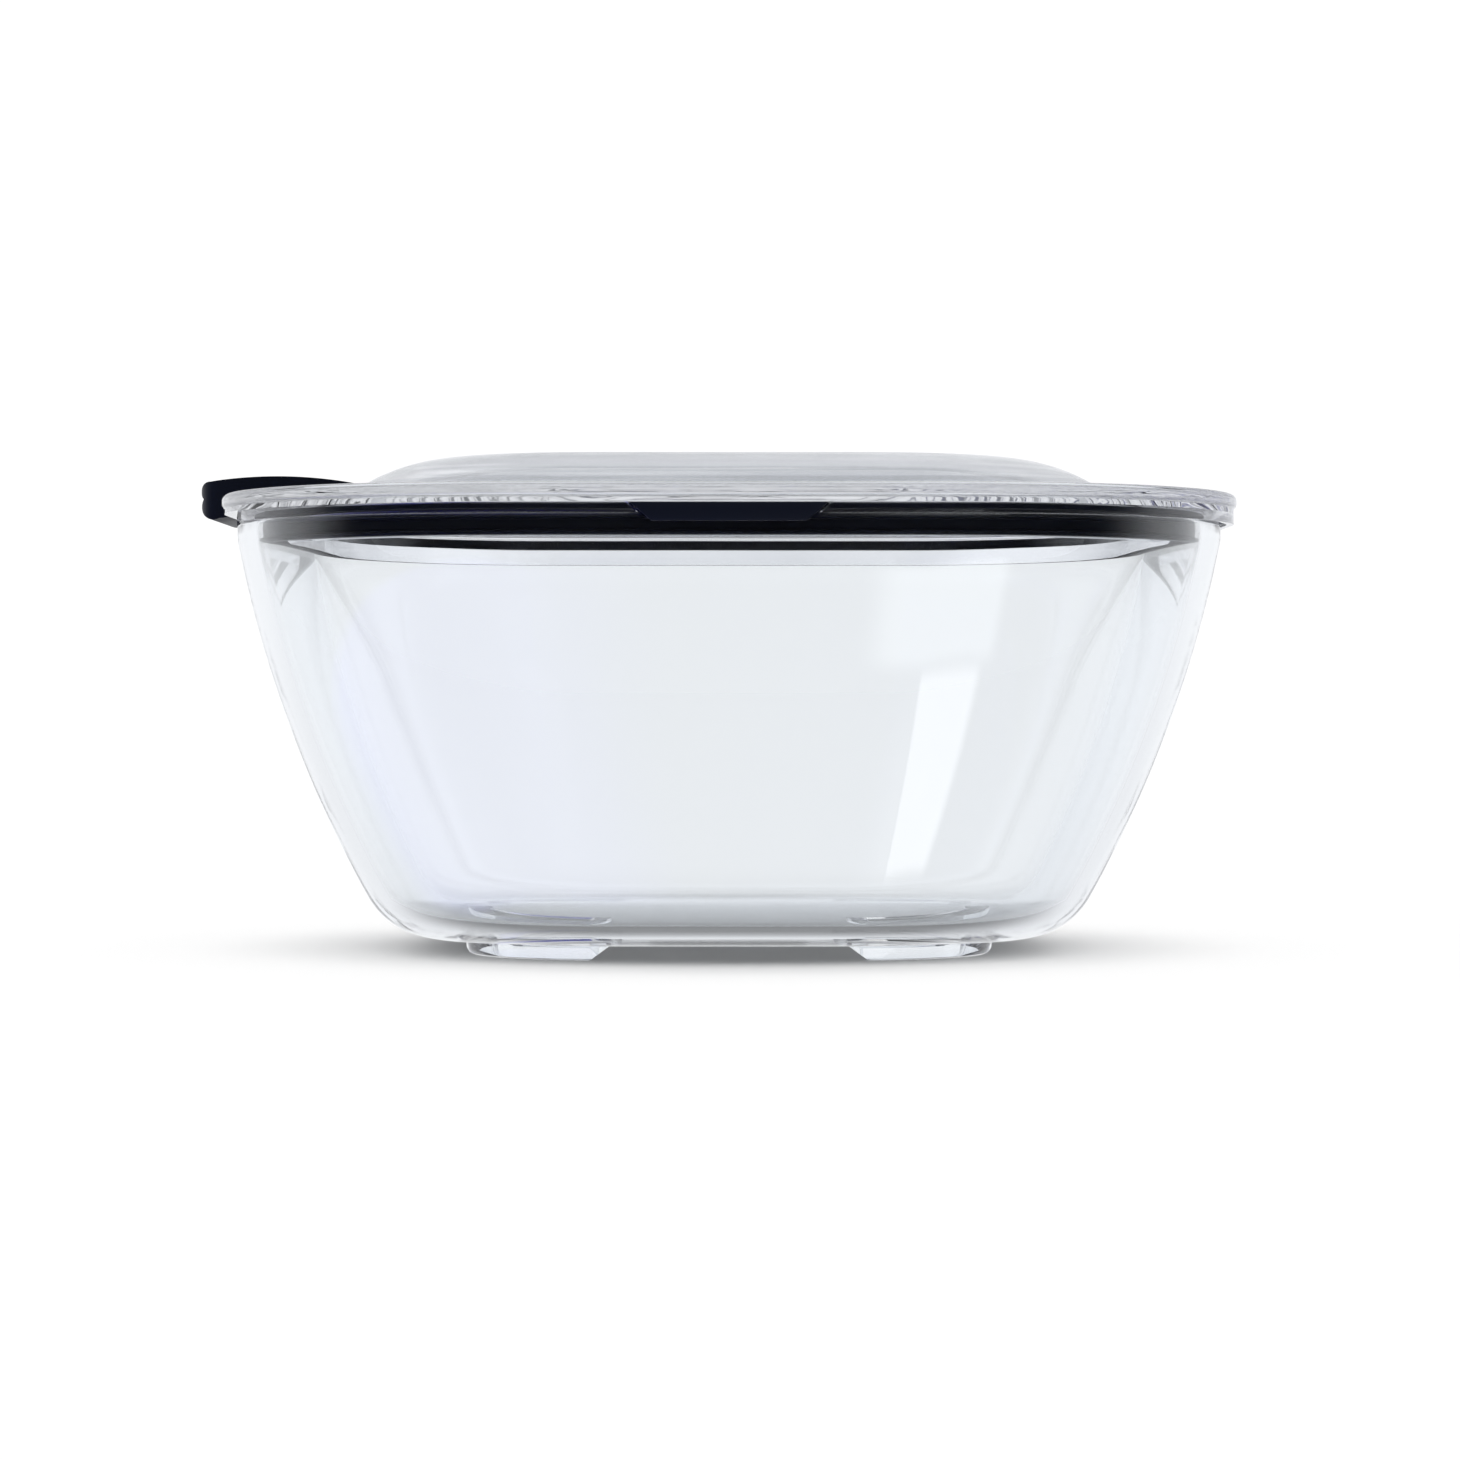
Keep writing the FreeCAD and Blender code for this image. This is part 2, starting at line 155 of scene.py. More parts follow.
# Studio, in metres; a fade is (start, end, value at the start, value at the end)
FLOOR_SIZE = 30.0
# The floor glows, a painted light, away from the bowl, and has a painted shadow, a darker colour,
# under it.
FLOOR_GLOW_FADE = (0.055, 0.12, 0.0, 0.75)
FLOOR_PAINTED_SHADOW_FADE = (0.05, 0.085, 0.5, 0.9)
SEEN_WHITE = (1.06, 1.06, 1.06)
LIGHTING_WHITE = (1.178, 1.178, 1.178)
CAMERA_AT = (0, -0.912, 0.0532)
CAMERA_AIM = (0.0002, 0, 0.0467)
CAMERA_LENS = 103.6
CAMERA_SENSOR = 36.0
LIGHT_BOUNCES = 96


# ---------------------------------------------------------------- shapes

def rounded_square(half, corner, height):
    """One closed ring of points; every ring has the same count, so rings join up."""
    centre = half - corner
    points = []
    for quarter in range(4):
        spin = Matrix.Rotation(math.radians(90 * quarter), 2)
        for step in range(CORNER_STEPS + 1):
            angle = math.radians(-90 + 90 * step / CORNER_STEPS)
            spot = Vector((centre + corner * math.cos(angle), -centre + corner * math.sin(angle)))
            points.append(spin @ spot)
        for share in SIDE_STEPS:
            spot = Vector((half, -centre + 2 * centre * share))
            points.append(spin @ spot)
    return [(p.x * MM, p.y * MM, height * MM) for p in points]


def new_object(name, bm):
    bmesh.ops.recalc_face_normals(bm, faces=bm.faces)
    mesh = bpy.data.meshes.new(name)
    bm.to_mesh(mesh)
    bm.free()
    obj = bpy.data.objects.new(name, mesh)
    bpy.context.scene.collection.objects.link(obj)
    return obj


def lathe(name, rings, closed=False):
    """Skin a list of (half, corner, height) rings; an open list gets a flat cap at each end."""
    bm = bmesh.new()
    rows = [[bm.verts.new(p) for p in rounded_square(*ring)] for ring in rings]
    count = len(rows[0])
    pairs = list(zip(rows, rows[1:] + rows[:1])) if closed else list(zip(rows, rows[1:]))
    for lower, upper in pairs:
        for i in range(count):
            j = (i + 1) % count
            bm.faces.new((lower[i], lower[j], upper[j], upper[i]))
    if not closed:
        bm.faces.new(rows[0])
        bm.faces.new(rows[-1])
    return new_object(name, bm)


def prism(name, outline, low, high, to_point, far_outline=None):
    """A prism of an outline between two depths; to_point places (a, b, depth).

    A second outline, for the far end, makes it a tapered one.
    """
    bm = bmesh.new()
    ends = [[bm.verts.new([c * MM for c in to_point(a, b, depth)]) for a, b in shape]
            for depth, shape in ((low, outline), (high, far_outline or outline))]
    bm.faces.new(ends[0])
    bm.faces.new(ends[1])
    for i in range(len(outline)):
        j = (i + 1) % len(outline)
        bm.faces.new((ends[0][i], ends[0][j], ends[1][j], ends[1][i]))
    return new_object(name, bm)


def bake(obj):
    """Replace the object's mesh by the result of its modifiers."""
    graph = bpy.context.evaluated_depsgraph_get()
    mesh = bpy.data.meshes.new_from_object(obj.evaluated_get(graph))
    obj.modifiers.clear()
    obj.data = mesh


def combine(obj, tools, operation):
    """Join solids to an object, or cut them out of it, and drop the tools."""
    for tool in tools:
        change = obj.modifiers.new("combine", "BOOLEAN")
        change.operation = operation
        change.solver = "EXACT"
        change.object = tool
        bake(obj)
        bpy.data.objects.remove(tool)


def bevel(obj, width, segments=3, angle=35):
    change = obj.modifiers.new("bevel", "BEVEL")
    change.width = width * MM
    change.segments = segments
    change.limit_method = "ANGLE"
    change.angle_limit = math.radians(angle)
    change.harden_normals = False
    bake(obj)


def smooth(obj, angle=32):
    """Smooth shading, with edges kept sharp where the faces meet at more than an angle."""
    bm = bmesh.new()
    bm.from_mesh(obj.data)
    bmesh.ops.remove_doubles(bm, verts=bm.verts, dist=1e-7)
    bmesh.ops.dissolve_degenerate(bm, edges=bm.edges, dist=1e-7)
    for face in bm.faces:
        face.smooth = True
    for edge in bm.edges:
        edge.smooth = edge.calc_face_angle(0) < math.radians(angle)
    bm.to_mesh(obj.data)
    bm.free()


def arc(centre, radius, start, end, steps):
    """(outward, up) points of an arc; angle 0 points down and 90 outward."""
    points = []
    for step in range(steps + 1):
        angle = math.radians(start + (end - start) * step / steps)
        points.append((centre[0] + radius * math.sin(angle), centre[1] - radius * math.cos(angle)))
    return points


# ---------------------------------------------------------------- glass bowl

def glass_wall_curve(inset, top):
    """(outward, up) points from the floor's edge up to the rim, on one face of the glass."""
    heel_centre = (FLOOR_HALF, FOOT_HEIGHT + HEEL_RADIUS)
    heel = math.radians(HEEL_ANGLE)
    shift = WALL_RADIUS - HEEL_RADIUS
    wall_centre = (heel_centre[0] - shift * math.sin(heel), heel_centre[1] + shift * math.cos(heel))
    lean = math.radians(WALL_ANGLE)
    blend_shift = WALL_RADIUS - WALL_BLEND
    blend_centre = (wall_centre[0] + blend_shift * math.sin(lean),
                    wall_centre[1] - blend_shift * math.cos(lean))
    points = arc(heel_centre, HEEL_RADIUS - inset, 0, HEEL_ANGLE, 16)
    points += arc(wall_centre, WALL_RADIUS - inset, HEEL_ANGLE, WALL_ANGLE, 24)[1:]
    points += arc(blend_centre, WALL_BLEND - inset, WALL_ANGLE, 90, 5)[1:]
    points.append((points[-1][0], top))
    return points


def glass_corner(outward, inset):
    return BOWL_CORNER * (outward + inset) - inset


def make_foot_tools():
    """Four corner feet: arcs of a low rounded-square wall with slanted ends."""
    rings = []
    rows = [
        (FOOT_HALF, FOOT_HEIGHT + 1.0), (FOOT_HALF - 0.35 * FOOT_DRAFT, 1.2),
        (FOOT_HALF - FOOT_DRAFT, 0.35), (FOOT_HALF - FOOT_DRAFT - 0.8, 0.0),
        (FOOT_HALF - FOOT_WIDTH + 0.8, 0.0), (FOOT_HALF - FOOT_WIDTH + 0.1, 0.5),
        (FOOT_HALF - FOOT_WIDTH, FOOT_HEIGHT + 1.0),
    ]
    for half, height in rows:
        rings.append((half, half - (FOOT_HALF - FOOT_CORNER), height))
    block = lathe("feet", rings, closed=True)
    low, high = -1.0, FOOT_HEIGHT + 2.0
    slope = (FOOT_GAP_TOP - FOOT_GAP_BOTTOM) / FOOT_HEIGHT
    outline = []
    for side, height in ((-1, low), (1, low), (1, high), (-1, high)):
        outline.append((side * (FOOT_GAP_BOTTOM + slope * height), height))
    cuts = [prism("gap", outline, -80, 80, lambda a, b, d: (a, d, b)),
            prism("gap", outline, -80, 80, lambda a, b, d: (d, a, b))]
    combine(block, cuts, "DIFFERENCE")
    return block


def make_glass_bowl():
    outside = glass_wall_curve(0, GLASS_TOP - GLASS_EDGE)
    inside = glass_wall_curve(GLASS_WALL, GLASS_TOP - GLASS_EDGE)
    rings = [(size, glass_corner(size, 0), FOOT_HEIGHT) for size in (12, 30, 48)]
    rings += [(u, glass_corner(u, 0), z) for u, z in outside]
    rim_out, rim_in = outside[-1][0], inside[-1][0]
    for u, z in arc((rim_out - GLASS_EDGE, GLASS_TOP - GLASS_EDGE), GLASS_EDGE, 90, 180, 6)[1:]:
        rings.append((u, u - CORNER_CENTRE, z))
    for u, z in arc((rim_in + GLASS_EDGE, GLASS_TOP - GLASS_EDGE), GLASS_EDGE, 180, 270, 6)[:-1]:
        rings.append((u, u - CORNER_CENTRE, z))
    rings += [(u, glass_corner(u, GLASS_WALL), z) for u, z in reversed(inside)]
    floor = FOOT_HEIGHT + GLASS_WALL
    rings += [(size, glass_corner(size, GLASS_WALL), floor) for size in (48, 30, 16)]
    bowl = lathe("glass_bowl_pressed", rings)
    combine(bowl, [make_foot_tools()], "UNION")
    smooth(bowl)
    return bowl


# ---------------------------------------------------------------- lid

def crown_corner(outward, inset):
    return CROWN_CORNER * (outward + inset) - inset


def lug_tools(grow, low, high, depth_in, depth_out, sides, flare=0.0):
    """Trapezoid prisms at the middle of sides given as (axis, sign), wider outside by flare."""
    tools = []
    slope = (LUG_TOP_WIDTH - LUG_BOTTOM_WIDTH) / 2 / (SEAL_TOP - LUG_BOTTOM)

    def trapezoid(extra):
        outline = []
        for side, height in ((-1, low), (1, low), (1, high), (-1, high)):
            half = LUG_BOTTOM_WIDTH / 2 + slope * (height - LUG_BOTTOM) + grow + extra
            outline.append((side * half, height))
        return outline

    for axis, sign in sides:
        shapes = [(sign * depth_in, trapezoid(0)), (sign * depth_out, trapezoid(flare))]
        (near, first), (far, second) = sorted(shapes, key=lambda item: item[0])
        place = (lambda a, b, d: (a, d, b)) if axis == "y" else (lambda a, b, d: (d, a, b))
        tools.append(prism("lug", first, near, far, place, second))
    return tools


def make_lid():
    centre = (CROWN_HALF, CROWN_TOP - CROWN_RADIUS)
    reach = CROWN_RADIUS + CROWN_FILLET
    rise = FLANGE_TOP + CROWN_FILLET - centre[1]
    fillet_out = centre[0] + math.sqrt(reach ** 2 - rise ** 2)
    touch = math.degrees(math.acos(rise / reach))

    rings = [(size, crown_corner(size, 0), CROWN_TOP) for size in (12, 30, 44)]
    for u, z in arc(centre, CROWN_RADIUS, 180, 180 - touch, 16):
        rings.append((u, crown_corner(u, 0), z))
    for u, z in arc((fillet_out, FLANGE_TOP + CROWN_FILLET), CROWN_FILLET, -touch, 0, 4)[1:]:
        rings.append((u, crown_corner(u, 0), z))
    edge = FLANGE_HALF - FLANGE_EDGE
    flat = FLANGE_FLAT_OUT
    rings.append((flat, (crown_corner(flat, 0) + flat - CORNER_CENTRE) / 2, FLANGE_TOP))

    rim = arc((edge, FLANGE_TOP - FLANGE_EDGE), FLANGE_EDGE, 180, 90, 6)
    rim += arc((edge, FLANGE_UNDER + FLANGE_EDGE), FLANGE_EDGE, 90, 34, 4)
    rim += [(SKIRT_OUTER, SKIRT_BOTTOM + SKIRT_EDGE)]
    rim += arc((SKIRT_OUTER - SKIRT_EDGE, SKIRT_BOTTOM + SKIRT_EDGE), SKIRT_EDGE, 90, 0, 3)[1:]
    rim += arc((SKIRT_INNER + SKIRT_EDGE, SKIRT_BOTTOM + SKIRT_EDGE), SKIRT_EDGE, 0, -90, 3)
    rim += [(SKIRT_INNER, SEAL_TOP), (GUIDE_OUTER, SEAL_TOP)]
    inner = GUIDE_OUTER - GUIDE_WALL
    rim += [(GUIDE_OUTER, GUIDE_BOTTOM + GUIDE_BEVEL), (inner, GUIDE_BOTTOM)]
    fillet = (inner - GUIDE_FILLET, FLANGE_UNDER - GUIDE_FILLET)
    rim += [(inner, fillet[1])]
    rim += arc(fillet, GUIDE_FILLET, 90, 180, 3)[1:]
    rings += [(u, u - CORNER_CENTRE, z) for u, z in rim]

    drop = FLANGE_UNDER - centre[1]
    inner_radius = CROWN_RADIUS - LID_WALL
    start = math.degrees(math.acos(drop / inner_radius))
    for u, z in arc(centre, inner_radius, 180 - start, 180, 16):
        rings.append((u, crown_corner(u, LID_WALL), z))
    under = CROWN_TOP - LID_WALL
    rings += [(size, crown_corner(size, LID_WALL), under) for size in (44, 30, 14)]
    lid = lathe("lid_moulding", rings)

    depth = (GUIDE_OUTER + 1, FLANGE_HALF + 5)
    sides = (("y", -1), ("y", 1), ("x", 1))
    windows = lug_tools(LUG_CLEARANCE, SKIRT_BOTTOM - 1, SEAL_TOP, *depth, sides)
    opening = [(-TAB_OPENING, SKIRT_BOTTOM - 1), (TAB_OPENING, SKIRT_BOTTOM - 1),
               (TAB_OPENING, SEAL_TOP), (-TAB_OPENING, SEAL_TOP)]
    windows.append(prism("opening", opening, -depth[1], -depth[0], lambda a, b, d: (d, a, b)))
    edge = (SKIRT_OUTER - WINDOW_EDGE, SKIRT_OUTER + WINDOW_EDGE)
    windows += lug_tools(LUG_CLEARANCE, SKIRT_BOTTOM - 1, SEAL_TOP, *edge, sides,
                         flare=2 * WINDOW_EDGE)
    combine(lid, windows, "DIFFERENCE")
    smooth(lid)
    return lid


# ---------------------------------------------------------------- seal

def make_seal():
    lip = [(SEAL_BODY, 0.0), (SEAL_LIP - 0.15, 0.1), (SEAL_LIP, 0.45), (SEAL_LIP - 0.15, 0.8),
           (SEAL_BODY, 0.9)]
    top = SEAL_TOP - SEAL_RELIEF
    profile = [(SEAL_INNER, top), (SEAL_INNER, SEAL_BOTTOM + 0.3),
               (SEAL_INNER + 0.3, SEAL_BOTTOM)]
    profile += [(u, SEAL_BOTTOM + z) for u, z in lip]
    profile += [(u, SEAL_BOTTOM + 3 * LIP_HEIGHT + z) for u, z in lip]
    profile += [(SEAL_BODY, WEB_UNDER - 0.3), (SEAL_BODY + 0.3, WEB_UNDER),
                (WEB_HALF - 0.2, WEB_UNDER), (WEB_HALF, WEB_UNDER + 0.2), (WEB_HALF, top)]
    seal = lathe("seal_silicone", [(u, u - CORNER_CENTRE, z) for u, z in profile], closed=True)
    sides = (("y", -1), ("y", 1), ("x", 1), ("x", -1))
    lugs = lug_tools(0, LUG_BOTTOM, top, LUG_OUTER - LUG_WALL, LUG_OUTER + LUG_PROUD, sides)
    for lug in lugs:
        bevel(lug, LUG_EDGE)
    bridges = lug_tools(0, WEB_UNDER + 0.02, top - 0.02, SEAL_BODY + 0.5,
                        LUG_OUTER - 0.5 * LUG_WALL, sides)
    combine(seal, bridges + lugs, "UNION")
    smooth(seal)
    return seal


# ---------------------------------------------------------------- pull tab

def bent(start, end, radius, steps):
    """Points after start, up to end, on an arc that bulges to the left of the way walked."""
    (ax, az), (bx, bz) = start, end
    chord = math.hypot(bx - ax, bz - az)
    along, left = ((bx - ax) / chord, (bz - az) / chord), (-(bz - az) / chord, (bx - ax) / chord)
    half_angle = math.asin(chord / 2 / abs(radius))
    points = []
    for step in range(1, steps + 1):
        turn = -half_angle + 2 * half_angle * step / steps
        forward = abs(radius) * math.sin(turn) + chord / 2
        side = radius * (math.cos(turn) - math.cos(half_angle))
        points.append((ax + along[0] * forward + left[0] * side,
                       az + along[1] * forward + left[1] * side))
    return points


def tab_outline():
    """The tab seen from the front as (outward, up) points, from the root round the grip."""
    centre = (CROWN_HALF, CROWN_TOP - CROWN_RADIUS)
    top_radius, low_radius = CROWN_RADIUS + ROOT_WALL, CROWN_RADIUS + 0.08
    end = HINGE_OUT - HINGE_GAP
    toe = math.degrees(math.asin((end - CROWN_HALF) / top_radius))
    foot = math.degrees(math.asin((end - CROWN_HALF) / low_radius))
    top, low = HINGE_UP + HINGE_WALL / 2, HINGE_UP - HINGE_WALL / 2
    under, inside = FLANGE_TOP + TAB_CLEARANCE, FLANGE_HALF + TAB_CLEARANCE
    points = arc(centre, top_radius, 180 - ROOT_ANGLE, 180 - toe, 8)
    points += bent(points[-1], (HINGE_OUT + 1.6, top + 0.18), -8.0, 10)
    points += bent(points[-1], TAB_NOSE_TOP, 92.0, 24)
    points += bent(points[-1], TAB_NOSE, 2.15, 12)
    points += bent(points[-1], TAB_TIP, 2.75, 12)
    points += [(inside, 92.05), (inside, FLANGE_TOP - 0.75)]
    points += bent(points[-1], (inside - FLANGE_EDGE, under), 2.0, 5)
    points += [(100.0, under), (94.0, under), (88.0, under), (83.5, under)]
    points += bent(points[-1], (HINGE_OUT + 2.4, low), 12.0, 5)
    toes = arc(centre, low_radius, 180 - foot, 180 - ROOT_ANGLE, 8)
    points += bent(points[-1], toes[0], 60.0, 10)
    return points + toes[1:]


def make_tab():
    outline = tab_outline()
    tab = prism("tab_silicone", outline, -TAB_WIDTH / 2, TAB_WIDTH / 2,
                lambda a, b, d: (-a, d, b))
    corner, reach = TAB_CORNER, TAB_CORNER_OUT
    tools = []
    for side in (-1, 1):
        edge = side * TAB_WIDTH / 2
        curve = [(reach - corner + corner * math.sin(math.radians(90 * i / 10)),
                  edge - side * corner * (1 - math.cos(math.radians(90 * i / 10))))
                 for i in range(11)]
        loop = curve + [(reach + 3, curve[-1][1]), (reach + 3, edge + side * 3),
                        (reach - corner, edge + side * 3)]
        tools.append(prism("corner", loop, 80, 110, lambda a, b, d: (-a, b, d)))
    combine(tab, tools, "DIFFERENCE")
    bevel(tab, TAB_EDGE, 3, 40)
    smooth(tab, 40)
    return tab


# ---------------------------------------------------------------- materials

def new_material(name):
    material = bpy.data.materials.new(name)
    material.use_nodes = True
    tree = material.node_tree
    shader = tree.nodes["Principled BSDF"]
    return material, tree, shader


def noise(tree, scale, detail=2.0, stretch=(1, 1, 1)):
    where = tree.nodes.new("ShaderNodeTexCoord")
    mapping = tree.nodes.new("ShaderNodeMapping")
    mapping.inputs["Scale"].default_value = stretch
    texture = tree.nodes.new("ShaderNodeTexNoise")
    texture.inputs["Scale"].default_value = scale
    texture.inputs["Detail"].default_value = detail
    tree.links.new(where.outputs["Object"], mapping.inputs["Vector"])
    tree.links.new(mapping.outputs["Vector"], texture.inputs["Vector"])
    return texture.outputs["Fac"]


def fade(tree, value, start, end, low=0.0, high=1.0, smooth_ends=True):
    """Map a value between start and end to one between low and high."""
    node = tree.nodes.new("ShaderNodeMapRange")
    if smooth_ends:
        node.interpolation_type = "SMOOTHSTEP"
    for name, number in (("From Min", start), ("From Max", end),
                         ("To Min", low), ("To Max", high)):
        node.inputs[name].default_value = number
    tree.links.new(value, node.inputs["Value"])
    return node.outputs["Result"]


def add_bump(tree, shader, height, strength, distance):
    bump = tree.nodes.new("ShaderNodeBump")
    bump.inputs["Strength"].default_value = strength
    bump.inputs["Distance"].default_value = distance
    tree.links.new(height, bump.inputs["Height"])
    tree.links.new(bump.outputs["Normal"], shader.inputs["Normal"])


def clear_material(name, ior, tint, waviness, scale):
    """Clear pressed glass or moulded plastic with the slight waviness of a real surface."""
    material, tree, shader = new_material(name)
    shader.inputs["Base Color"].default_value = (*tint, 1)
    shader.inputs["Transmission Weight"].default_value = 1.0
    shader.inputs["Roughness"].default_value = 0.0
    shader.inputs["IOR"].default_value = ior
    add_bump(tree, shader, noise(tree, scale, 1.0), waviness, 0.0006)
    return material


def add_painted_refraction_lines(material, tint):
    """Painted shade and painted refraction lines: a darker tint above the flange, in fine level
    streaks that stand for light bent through the crown.
    """
    tree = material.node_tree
    shader = tree.nodes["Principled BSDF"]
    where = tree.nodes.new("ShaderNodeTexCoord")
    split = tree.nodes.new("ShaderNodeSeparateXYZ")
    tree.links.new(where.outputs["Object"], split.inputs[0])
    height = fade(tree, split.outputs["Z"], (FLANGE_UNDER + 1.5) * MM, (FLANGE_TOP + 1.5) * MM,
                  0.0, 0.8)
    # Painted refraction lines: level streaks of the darker tint.
    refraction_streaks = noise(tree, 9.0, 3.0, (1, 1, 55))
    refraction_line_share = fade(tree, refraction_streaks, 0.44, 0.56, 0.1, 1.9, smooth_ends=False)
    product = tree.nodes.new("ShaderNodeMath")
    product.operation = "MULTIPLY"
    tree.links.new(height, product.inputs[0])
    tree.links.new(refraction_line_share, product.inputs[1])
    mix = tree.nodes.new("ShaderNodeMix")
    mix.data_type = "RGBA"
    mix.inputs[6].default_value = shader.inputs["Base Color"].default_value
    mix.inputs[7].default_value = (*tint, 1)
    tree.links.new(product.outputs[0], mix.inputs[0])
    tree.links.new(mix.outputs[2], shader.inputs["Base Color"])


def silicone_material():
    material, tree, shader = new_material("navy_silicone")
    shader.inputs["Base Color"].default_value = (*SILICONE_NAVY, 1)
    shader.inputs["Specular IOR Level"].default_value = 0.18
    add_bump(tree, shader, noise(tree, 900.0, 3.0), 0.12, 0.0002)
    rough = fade(tree, noise(tree, 60.0), 0.0, 1.0, 0.36, 0.5, smooth_ends=False)
    tree.links.new(rough, shader.inputs["Roughness"])
    return material


def put(obj, material, slot, body, *nodes):
    obj.data.materials.clear()
    obj.data.materials.append(material)
    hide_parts(*nodes)
    if body:
        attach(obj, body)


# ---------------------------------------------------------------- assembly

glass = clear_material("pressed_glass", GLASS_IOR, GLASS_TINT, 0.05, 28.0)
plastic = clear_material("clear_plastic", PLASTIC_IOR, PLASTIC_TINT, 0.12, 60.0)
# Painted shade and painted refraction lines on the crown.
add_painted_refraction_lines(plastic, CROWN_PAINTED_SHADE)
silicone = silicone_material()

put(make_glass_bowl(), glass, "glass", "bowl", "glass_bowl")
put(make_lid(), plastic, "clear_plastic", "lid_assembly", "lid")
put(make_seal(), silicone, "dark_silicone", "lid_assembly", "seal_ring")
tab = make_tab()
put(tab, silicone, "dark_silicone", None, "tab_root", "pull_tab")
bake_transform(tab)


# ---------------------------------------------------------------- studio

def make_stage():
    """A pale floor that runs far back.

    It gives off light of its own away from the bowl and has a painted shadow, a darker colour,
    under it. Reflected rays pass it and see the world instead.
    """
    bm = bmesh.new()
    bmesh.ops.create_grid(bm, x_segments=1, y_segments=1, size=FLOOR_SIZE)
    floor = new_object("floor", bm)
    material, tree, shader = new_material("pale_floor")
    shader.inputs["Roughness"].default_value = 0.8
    shader.inputs["Specular IOR Level"].default_value = 0.0
    where = tree.nodes.new("ShaderNodeTexCoord")
    distance = tree.nodes.new("ShaderNodeVectorMath")
    distance.operation = "LENGTH"
    tree.links.new(where.outputs["Object"], distance.inputs[0])
    # Painted shadow: the floor's colour is darker under the bowl.
    colour = fade(tree, distance.outputs["Value"], *FLOOR_PAINTED_SHADOW_FADE)
    tree.links.new(colour, shader.inputs["Base Color"])
    glow = tree.nodes.new("ShaderNodeEmission")
    glow.inputs["Color"].default_value = (*SEEN_WHITE, 1)
    path = tree.nodes.new("ShaderNodeLightPath")
    clear = tree.nodes.new("ShaderNodeBsdfTransparent")
    surface = shader.outputs[0]
    # Painted light: the floor glows away from the bowl and less near it, which adds to the painted
    # shadow.
    for share, other in ((fade(tree, distance.outputs["Value"], *FLOOR_GLOW_FADE), glow),
                         (path.outputs["Glossy Depth"], clear)):
        mix = tree.nodes.new("ShaderNodeMixShader")
        tree.links.new(share, mix.inputs[0])
        tree.links.new(surface, mix.inputs[1])
        tree.links.new(other.outputs[0], mix.inputs[2])
        surface = mix.outputs[0]
    tree.links.new(surface, tree.nodes["Material Output"].inputs["Surface"])
    floor.data.materials.append(material)


class Sky:
    """Node helpers for painting the studio onto the world by direction."""

    def __init__(self, tree):
        self.tree = tree
        where = tree.nodes.new("ShaderNodeTexCoord")
        split = tree.nodes.new("ShaderNodeSeparateXYZ")
        tree.links.new(where.outputs["Generated"], split.inputs[0])
        self.x, self.y, self.z = split.outputs
        front = self.math("MULTIPLY", self.y, -1.0)
        self.azimuth = self.math("ARCTAN2", self.x, front)
        self.elevation = self.math("ARCSINE", self.z)

    def math(self, operation, *values):
        node = self.tree.nodes.new("ShaderNodeMath")
        node.operation = operation
        for socket, value in zip(node.inputs, values):
            if isinstance(value, (int, float)):
                socket.default_value = value
            else:
                self.tree.links.new(value, socket)
        return node.outputs[0]

    def ramp(self, value, start, end, low=0.0, high=1.0):
        return fade(self.tree, value, start, end, low, high)

    def panel(self, azimuths, elevations):
        """A light panel between two azimuths and two elevations.

        Each is (low, high, softness of the low edge, softness of the high edge), in degrees.
        """
        edges = []
        for value, limits in ((self.azimuth, azimuths), (self.elevation, elevations)):
            low, high, low_soft, high_soft = limits
            edges.append(self.ramp(value, math.radians(low - low_soft),
                                   math.radians(low + low_soft)))
            edges.append(self.ramp(value, math.radians(high - high_soft),
                                   math.radians(high + high_soft), 1.0, 0.0))
        shape = edges[0]
        for edge in edges[1:]:
            shape = self.math("MULTIPLY", shape, edge)
        return shape

    def add(self, total, shape, colour):
        """total plus shape times a colour."""
        node = self.tree.nodes.new("ShaderNodeVectorMath")
        node.operation = "MULTIPLY_ADD"
        self.tree.links.new(shape, node.inputs[0])
        node.inputs[1].default_value = colour
        if isinstance(total, tuple):
            node.inputs[2].default_value = total
        else:
            self.tree.links.new(total, node.inputs[2])
        return node.outputs["Vector"]


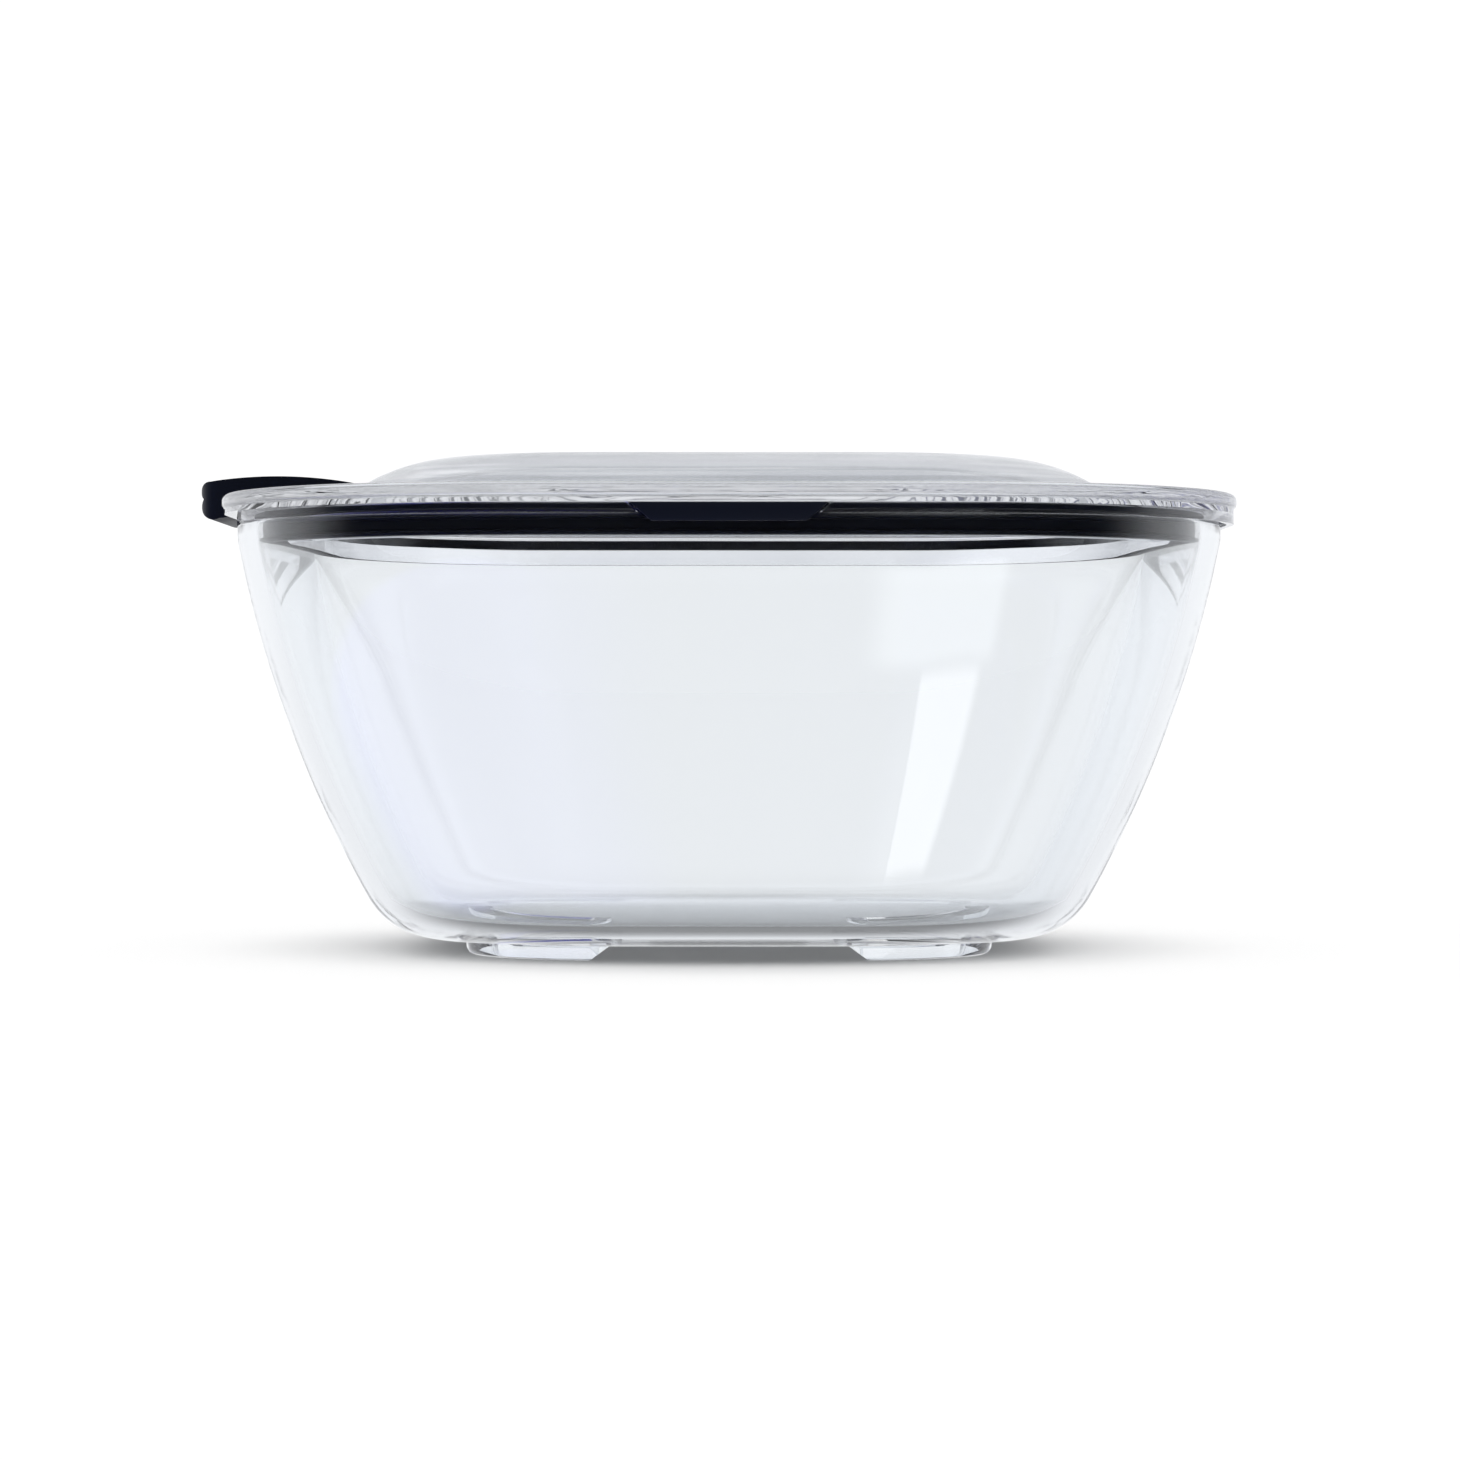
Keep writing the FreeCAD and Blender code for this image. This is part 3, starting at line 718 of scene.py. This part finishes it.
def make_world():
    """The studio, which shows each kind of ray something else.

    The camera and matt surfaces see an even white. Rays through the clear pieces see one that
    fades a little above and below the horizon. Reflections see a dim front with soft panels.
    """
    world = bpy.data.worlds.new("studio")
    world.use_nodes = True
    tree = world.node_tree
    background = tree.nodes["Background"]
    sky = Sky(tree)
    bend = sky.math("ABSOLUTE", sky.elevation)
    through = sky.add((0.88, 0.88, 0.89), sky.ramp(bend, 0.12, 0.6, 1.0, 0.0), (0.18, 0.18, 0.17))

    back = sky.math("MULTIPLY", sky.ramp(sky.y, -0.35, 0.25),
                    sky.ramp(sky.z, -0.8, -0.3, 0.25, 1.0))
    horizon = sky.math("MULTIPLY", sky.ramp(sky.y, 0.2, 0.7),
                       sky.ramp(bend, 0.03, 0.25, 1.0, 0.0))
    reflected = (0.02, 0.021, 0.023)
    for shape, colour in (
            (back, (0.85, 0.86, 0.88)),
            (horizon, (0.08, 0.08, 0.08)),
            (sky.ramp(sky.z, 0.3, 0.9), (0.36, 0.36, 0.36)),
            (sky.ramp(sky.z, -0.9, -0.98), (0.2, 0.2, 0.2)),
            (sky.panel((4, 29, 1.3, 1.3), (-56, -34, 1.3, 1.3)), (1.75, 1.75, 1.75)),
            (sky.panel((2.3, 33, 0.4, 3), (-33, -22.8, 1.5, 0.6)), (1.0, 1.05, 1.05)),
            (sky.panel((-112, -2.2, 12, 1.5), (-60, -22.8, 3, 0.6)), (0.05, 0.05, 0.55))):
        reflected = sky.add(reflected, shape, colour)

    path = tree.nodes.new("ShaderNodeLightPath")
    was_reflected = sky.math("MINIMUM", path.outputs["Glossy Depth"], 1.0)
    was_scattered = sky.math("MINIMUM", path.outputs["Diffuse Depth"], 1.0)
    seen = through
    for share, other in ((path.outputs["Is Camera Ray"], SEEN_WHITE), (was_reflected, reflected),
                         (was_scattered, LIGHTING_WHITE)):
        mix = tree.nodes.new("ShaderNodeMix")
        mix.data_type = "RGBA"
        tree.links.new(share, mix.inputs[0])
        tree.links.new(seen, mix.inputs[6])
        if isinstance(other, tuple):
            mix.inputs[7].default_value = (*other, 1)
        else:
            tree.links.new(other, mix.inputs[7])
        seen = mix.outputs[2]
    tree.links.new(seen, background.inputs["Color"])
    bpy.context.scene.world = world


def make_camera():
    """A long lens at about half the container's height, aimed a little lower."""
    data = bpy.data.cameras.new("camera")
    data.sensor_width = CAMERA_SENSOR
    data.lens = CAMERA_LENS
    camera = bpy.data.objects.new("camera", data)
    camera.location = CAMERA_AT
    aim = Vector(CAMERA_AIM) - camera.location
    camera.rotation_mode = "QUATERNION"
    camera.rotation_quaternion = aim.to_track_quat("-Z", "Y")
    bpy.context.scene.collection.objects.link(camera)
    bpy.context.scene.camera = camera


make_stage()
make_world()
make_camera()
scene = bpy.context.scene
scene.view_settings.view_transform = "Standard"
scene.cycles.max_bounces = LIGHT_BOUNCES
scene.cycles.transmission_bounces = LIGHT_BOUNCES
scene.cycles.glossy_bounces = LIGHT_BOUNCES
scene.cycles.use_denoising = True
